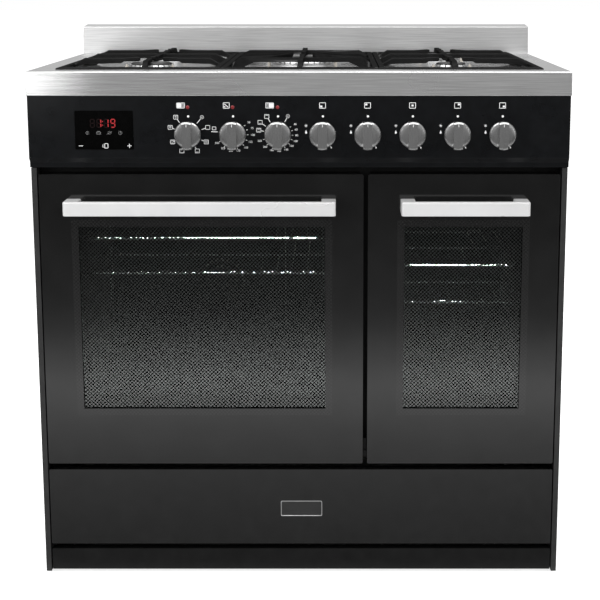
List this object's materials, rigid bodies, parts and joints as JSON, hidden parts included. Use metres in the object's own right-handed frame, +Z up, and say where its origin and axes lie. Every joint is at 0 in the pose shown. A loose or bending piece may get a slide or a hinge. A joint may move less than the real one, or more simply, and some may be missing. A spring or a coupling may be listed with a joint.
{
  "type": "dual fuel range cooker",
  "caption": "Free-standing range cooker: gas hob with cast-iron pan supports over two drop-door ovens, a control panel with knobs and a clock, and a storage drawer.",
  "frame": {"origin": "on the floor, at the middle of the whole cooker's box", "axes": "+X to the right as seen from the front, the front faces -Y, +Z up"},
  "size_m": [0.9, 0.632, 0.937],
  "materials": {
    "black_enamel": "semi-gloss black enamel on sheet steel",
    "galvanised": "matt zinc-coated sheet steel",
    "panel_black": "satin blue-black enamel",
    "display_glass": "gloss black glass-like window",
    "red_lens": "translucent red lens",
    "hob_steel": "stainless steel brushed across its width",
    "burner_alu": "bright die-cast aluminium",
    "burner_black": "matt black enamel",
    "ceramic_white": "white glazed ceramic",
    "cavity_enamel": "dark grey vitreous enamel with fine speckle",
    "wool": "glass-wool blanket",
    "element": "heat-tinted sheathed tube",
    "wire_chrome": "bright chrome wire",
    "lamp_glass": "clear ribbed lamp glass",
    "gasket": "braided black seal",
    "brass": "raw cast brass",
    "plain_steel": "plain steel",
    "switch_body": "heat-proof moulded plastic",
    "black_plastic": "black moulded plastic",
    "door_glass": "black printed glass with a dotted window",
    "clear_glass": "clear heat-proof glass",
    "handle_metal": "satin silver aluminium",
    "knob_metal": "satin metallic grey",
    "cast_iron": "matt black enamelled cast iron"
  },
  "bodies": {
    "cooker": {"left_side_panel": "black_enamel", "right_side_panel": "black_enamel", "rear_cover": "galvanised", "base_pan": "galvanised", "plinth": "black_enamel", "front_frame": "black_enamel", "control_panel": "panel_black", "display_module": "display_glass", "pilot_lamps": "red_lens", "hob_top": "hob_steel", "upstand": "hob_steel", "burner_bodies": "burner_alu", "burner_crowns": "burner_alu", "burner_caps": "burner_black", "igniters": "ceramic_white", "main_oven_cavity": "cavity_enamel", "second_oven_cavity": "cavity_enamel", "oven_insulation": "wool", "oven_elements": "element", "fan_cover": "cavity_enamel", "fan_motor": "plain_steel", "shelf_rails": "wire_chrome", "main_oven_shelves": "wire_chrome", "second_oven_shelves": "wire_chrome", "oven_lamps": "lamp_glass", "door_gaskets": "gasket", "gas_taps": "brass", "gas_manifold": "plain_steel", "oven_switches": "switch_body", "terminal_block": "black_plastic", "drawer_rails": "plain_steel", "hinge_brackets": "plain_steel", "feet": "black_plastic"},
    "main_door": {"main_door_glass": "door_glass", "main_door_frame": "black_enamel", "main_door_inner_glass": "clear_glass", "main_door_handle": "handle_metal"},
    "second_door": {"second_door_glass": "door_glass", "second_door_frame": "black_enamel", "second_door_inner_glass": "clear_glass", "second_door_handle": "handle_metal"},
    "drawer": {"drawer_front": "black_enamel", "drawer_box": "galvanised"},
    "oven_fan": {"oven_fan": "plain_steel"},
    "main_function_knob": {"main_function_knob": "knob_metal"},
    "main_temperature_knob": {"main_temperature_knob": "knob_metal"},
    "second_oven_knob": {"second_oven_knob": "knob_metal"},
    "left_pan_support": {"left_pan_support": "cast_iron"},
    "centre_pan_support": {"centre_pan_support": "cast_iron"},
    "right_pan_support": {"right_pan_support": "cast_iron"},
    "front_left_spindle": {"front_left_spindle": "plain_steel"},
    "front_left_knob": {"front_left_knob": "knob_metal"},
    "rear_left_spindle": {"rear_left_spindle": "plain_steel"},
    "rear_left_knob": {"rear_left_knob": "knob_metal"},
    "centre_spindle": {"centre_spindle": "plain_steel"},
    "centre_knob": {"centre_knob": "knob_metal"},
    "rear_right_spindle": {"rear_right_spindle": "plain_steel"},
    "rear_right_knob": {"rear_right_knob": "knob_metal"},
    "front_right_spindle": {"front_right_spindle": "plain_steel"},
    "front_right_knob": {"front_right_knob": "knob_metal"}
  },
  "joints": [
    {"name": "main_door_hinge", "type": "hinge", "parent": "cooker", "child": "main_door", "pos_m": [-0.16475, -0.256, 0.214], "axis": [1, 0, 0], "range_deg": [0, 90], "stiffness_Nm_per_rad": 12, "springref_deg": -14.32},
    {"name": "second_door_hinge", "type": "hinge", "parent": "cooker", "child": "second_door", "pos_m": [0.27575, -0.256, 0.214], "axis": [1, 0, 0], "range_deg": [0, 90], "stiffness_Nm_per_rad": 8, "springref_deg": -14.32},
    {"name": "drawer_slide", "type": "slide", "parent": "cooker", "child": "drawer", "axis": [0, -1, 0], "range_m": [0, 0.35]},
    {"name": "oven_fan_spin", "type": "hinge", "parent": "cooker", "child": "oven_fan", "pos_m": [-0.16475, 0.179, 0.4375], "axis": [0, 1, 0], "continuous": true},
    {"name": "main_function_knob_turn", "type": "hinge", "parent": "cooker", "child": "main_function_knob", "pos_m": [-0.184, -0.282, 0.776], "axis": [0, 1, 0], "range_deg": [0, 320]},
    {"name": "main_temperature_knob_turn", "type": "hinge", "parent": "cooker", "child": "main_temperature_knob", "pos_m": [-0.1097, -0.282, 0.776], "axis": [0, 1, 0], "range_deg": [0, 285]},
    {"name": "second_oven_knob_turn", "type": "hinge", "parent": "cooker", "child": "second_oven_knob", "pos_m": [-0.0354, -0.282, 0.776], "axis": [0, 1, 0], "range_deg": [0, 325]},
    {"name": "front_left_push", "type": "slide", "parent": "cooker", "child": "front_left_spindle", "axis": [0, 1, 0], "range_m": [0, 0.004], "stiffness_N_per_m": 1500, "springref_m": -0.0006},
    {"name": "front_left_knob_turn", "type": "hinge", "parent": "front_left_spindle", "child": "front_left_knob", "pos_m": [0.0389, -0.282, 0.776], "axis": [0, 1, 0], "range_deg": [-210, 0]},
    {"name": "rear_left_push", "type": "slide", "parent": "cooker", "child": "rear_left_spindle", "axis": [0, 1, 0], "range_m": [0, 0.004], "stiffness_N_per_m": 1500, "springref_m": -0.0006},
    {"name": "rear_left_knob_turn", "type": "hinge", "parent": "rear_left_spindle", "child": "rear_left_knob", "pos_m": [0.1132, -0.282, 0.776], "axis": [0, 1, 0], "range_deg": [-210, 0]},
    {"name": "centre_push", "type": "slide", "parent": "cooker", "child": "centre_spindle", "axis": [0, 1, 0], "range_m": [0, 0.004], "stiffness_N_per_m": 1500, "springref_m": -0.0006},
    {"name": "centre_knob_turn", "type": "hinge", "parent": "centre_spindle", "child": "centre_knob", "pos_m": [0.1875, -0.282, 0.776], "axis": [0, 1, 0], "range_deg": [-210, 0]},
    {"name": "rear_right_push", "type": "slide", "parent": "cooker", "child": "rear_right_spindle", "axis": [0, 1, 0], "range_m": [0, 0.004], "stiffness_N_per_m": 1500, "springref_m": -0.0006},
    {"name": "rear_right_knob_turn", "type": "hinge", "parent": "rear_right_spindle", "child": "rear_right_knob", "pos_m": [0.2618, -0.282, 0.776], "axis": [0, 1, 0], "range_deg": [-210, 0]},
    {"name": "front_right_push", "type": "slide", "parent": "cooker", "child": "front_right_spindle", "axis": [0, 1, 0], "range_m": [0, 0.004], "stiffness_N_per_m": 1500, "springref_m": -0.0006},
    {"name": "front_right_knob_turn", "type": "hinge", "parent": "front_right_spindle", "child": "front_right_knob", "pos_m": [0.3361, -0.282, 0.776], "axis": [0, 1, 0], "range_deg": [-210, 0]},
    {"name": "left_pan_support_lift", "type": "slide", "parent": "cooker", "child": "left_pan_support", "axis": [0, 0, 1], "range_m": [0, 0.06]},
    {"name": "centre_pan_support_lift", "type": "slide", "parent": "cooker", "child": "centre_pan_support", "axis": [0, 0, 1], "range_m": [0, 0.06]},
    {"name": "right_pan_support_lift", "type": "slide", "parent": "cooker", "child": "right_pan_support", "axis": [0, 0, 1], "range_m": [0, 0.06]}
  ]
}
